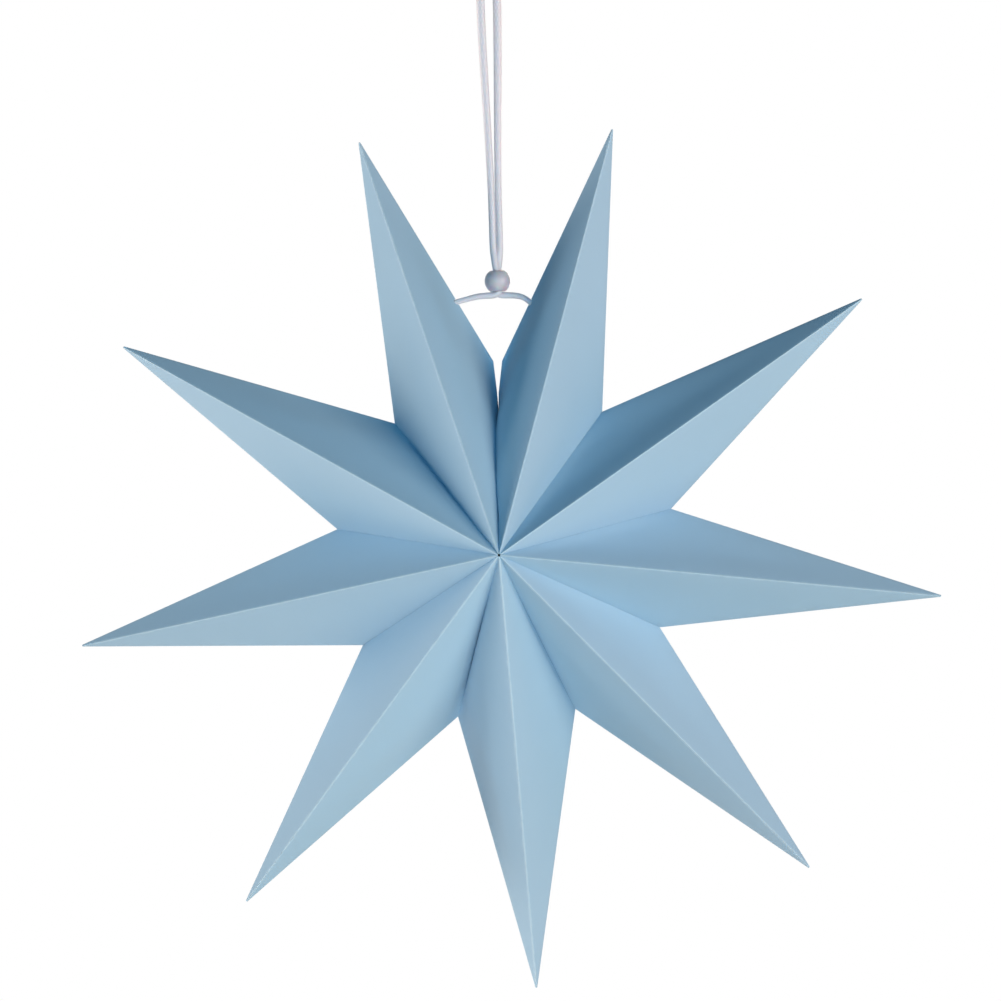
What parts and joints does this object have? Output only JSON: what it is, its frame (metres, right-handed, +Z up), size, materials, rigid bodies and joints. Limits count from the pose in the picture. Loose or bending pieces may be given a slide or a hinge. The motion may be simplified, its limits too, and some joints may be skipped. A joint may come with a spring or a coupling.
{
  "type": "hanging paper star",
  "caption": "Open pointed star of hollow folded card rays glued side by side, held open by a knotted hanging cord with a sliding bead.",
  "frame": {"origin": "the inside top of the hanging loop, where a hook carries it", "axes": "+Z up along the hanging cord, -Y out of the front of the star, +X to the right seen from the front"},
  "size_m": [0.2962, 0.0894, 0.3483],
  "materials": {
    "card": "matte sky blue coloured card",
    "cord": "soft off-white satin cord",
    "bead": "milky grey translucent plastic"
  },
  "bodies": {
    "paper_star": {"paper_ray_1": "card", "paper_ray_2": "card", "paper_ray_3": "card", "paper_ray_4": "card", "paper_ray_5": "card", "paper_ray_6": "card", "paper_ray_7": "card", "paper_ray_8": "card", "paper_ray_9": "card", "hanging_cord": "cord", "first_ray_knot": "cord", "last_ray_knot": "cord"},
    "sliding_bead": {"cord_bead": "bead"}
  },
  "joints": [
    {"name": "bead_slide", "type": "slide", "parent": "paper_star", "child": "sliding_bead", "axis": [0, 0, 1], "range_m": [0, 0.03]}
  ]
}
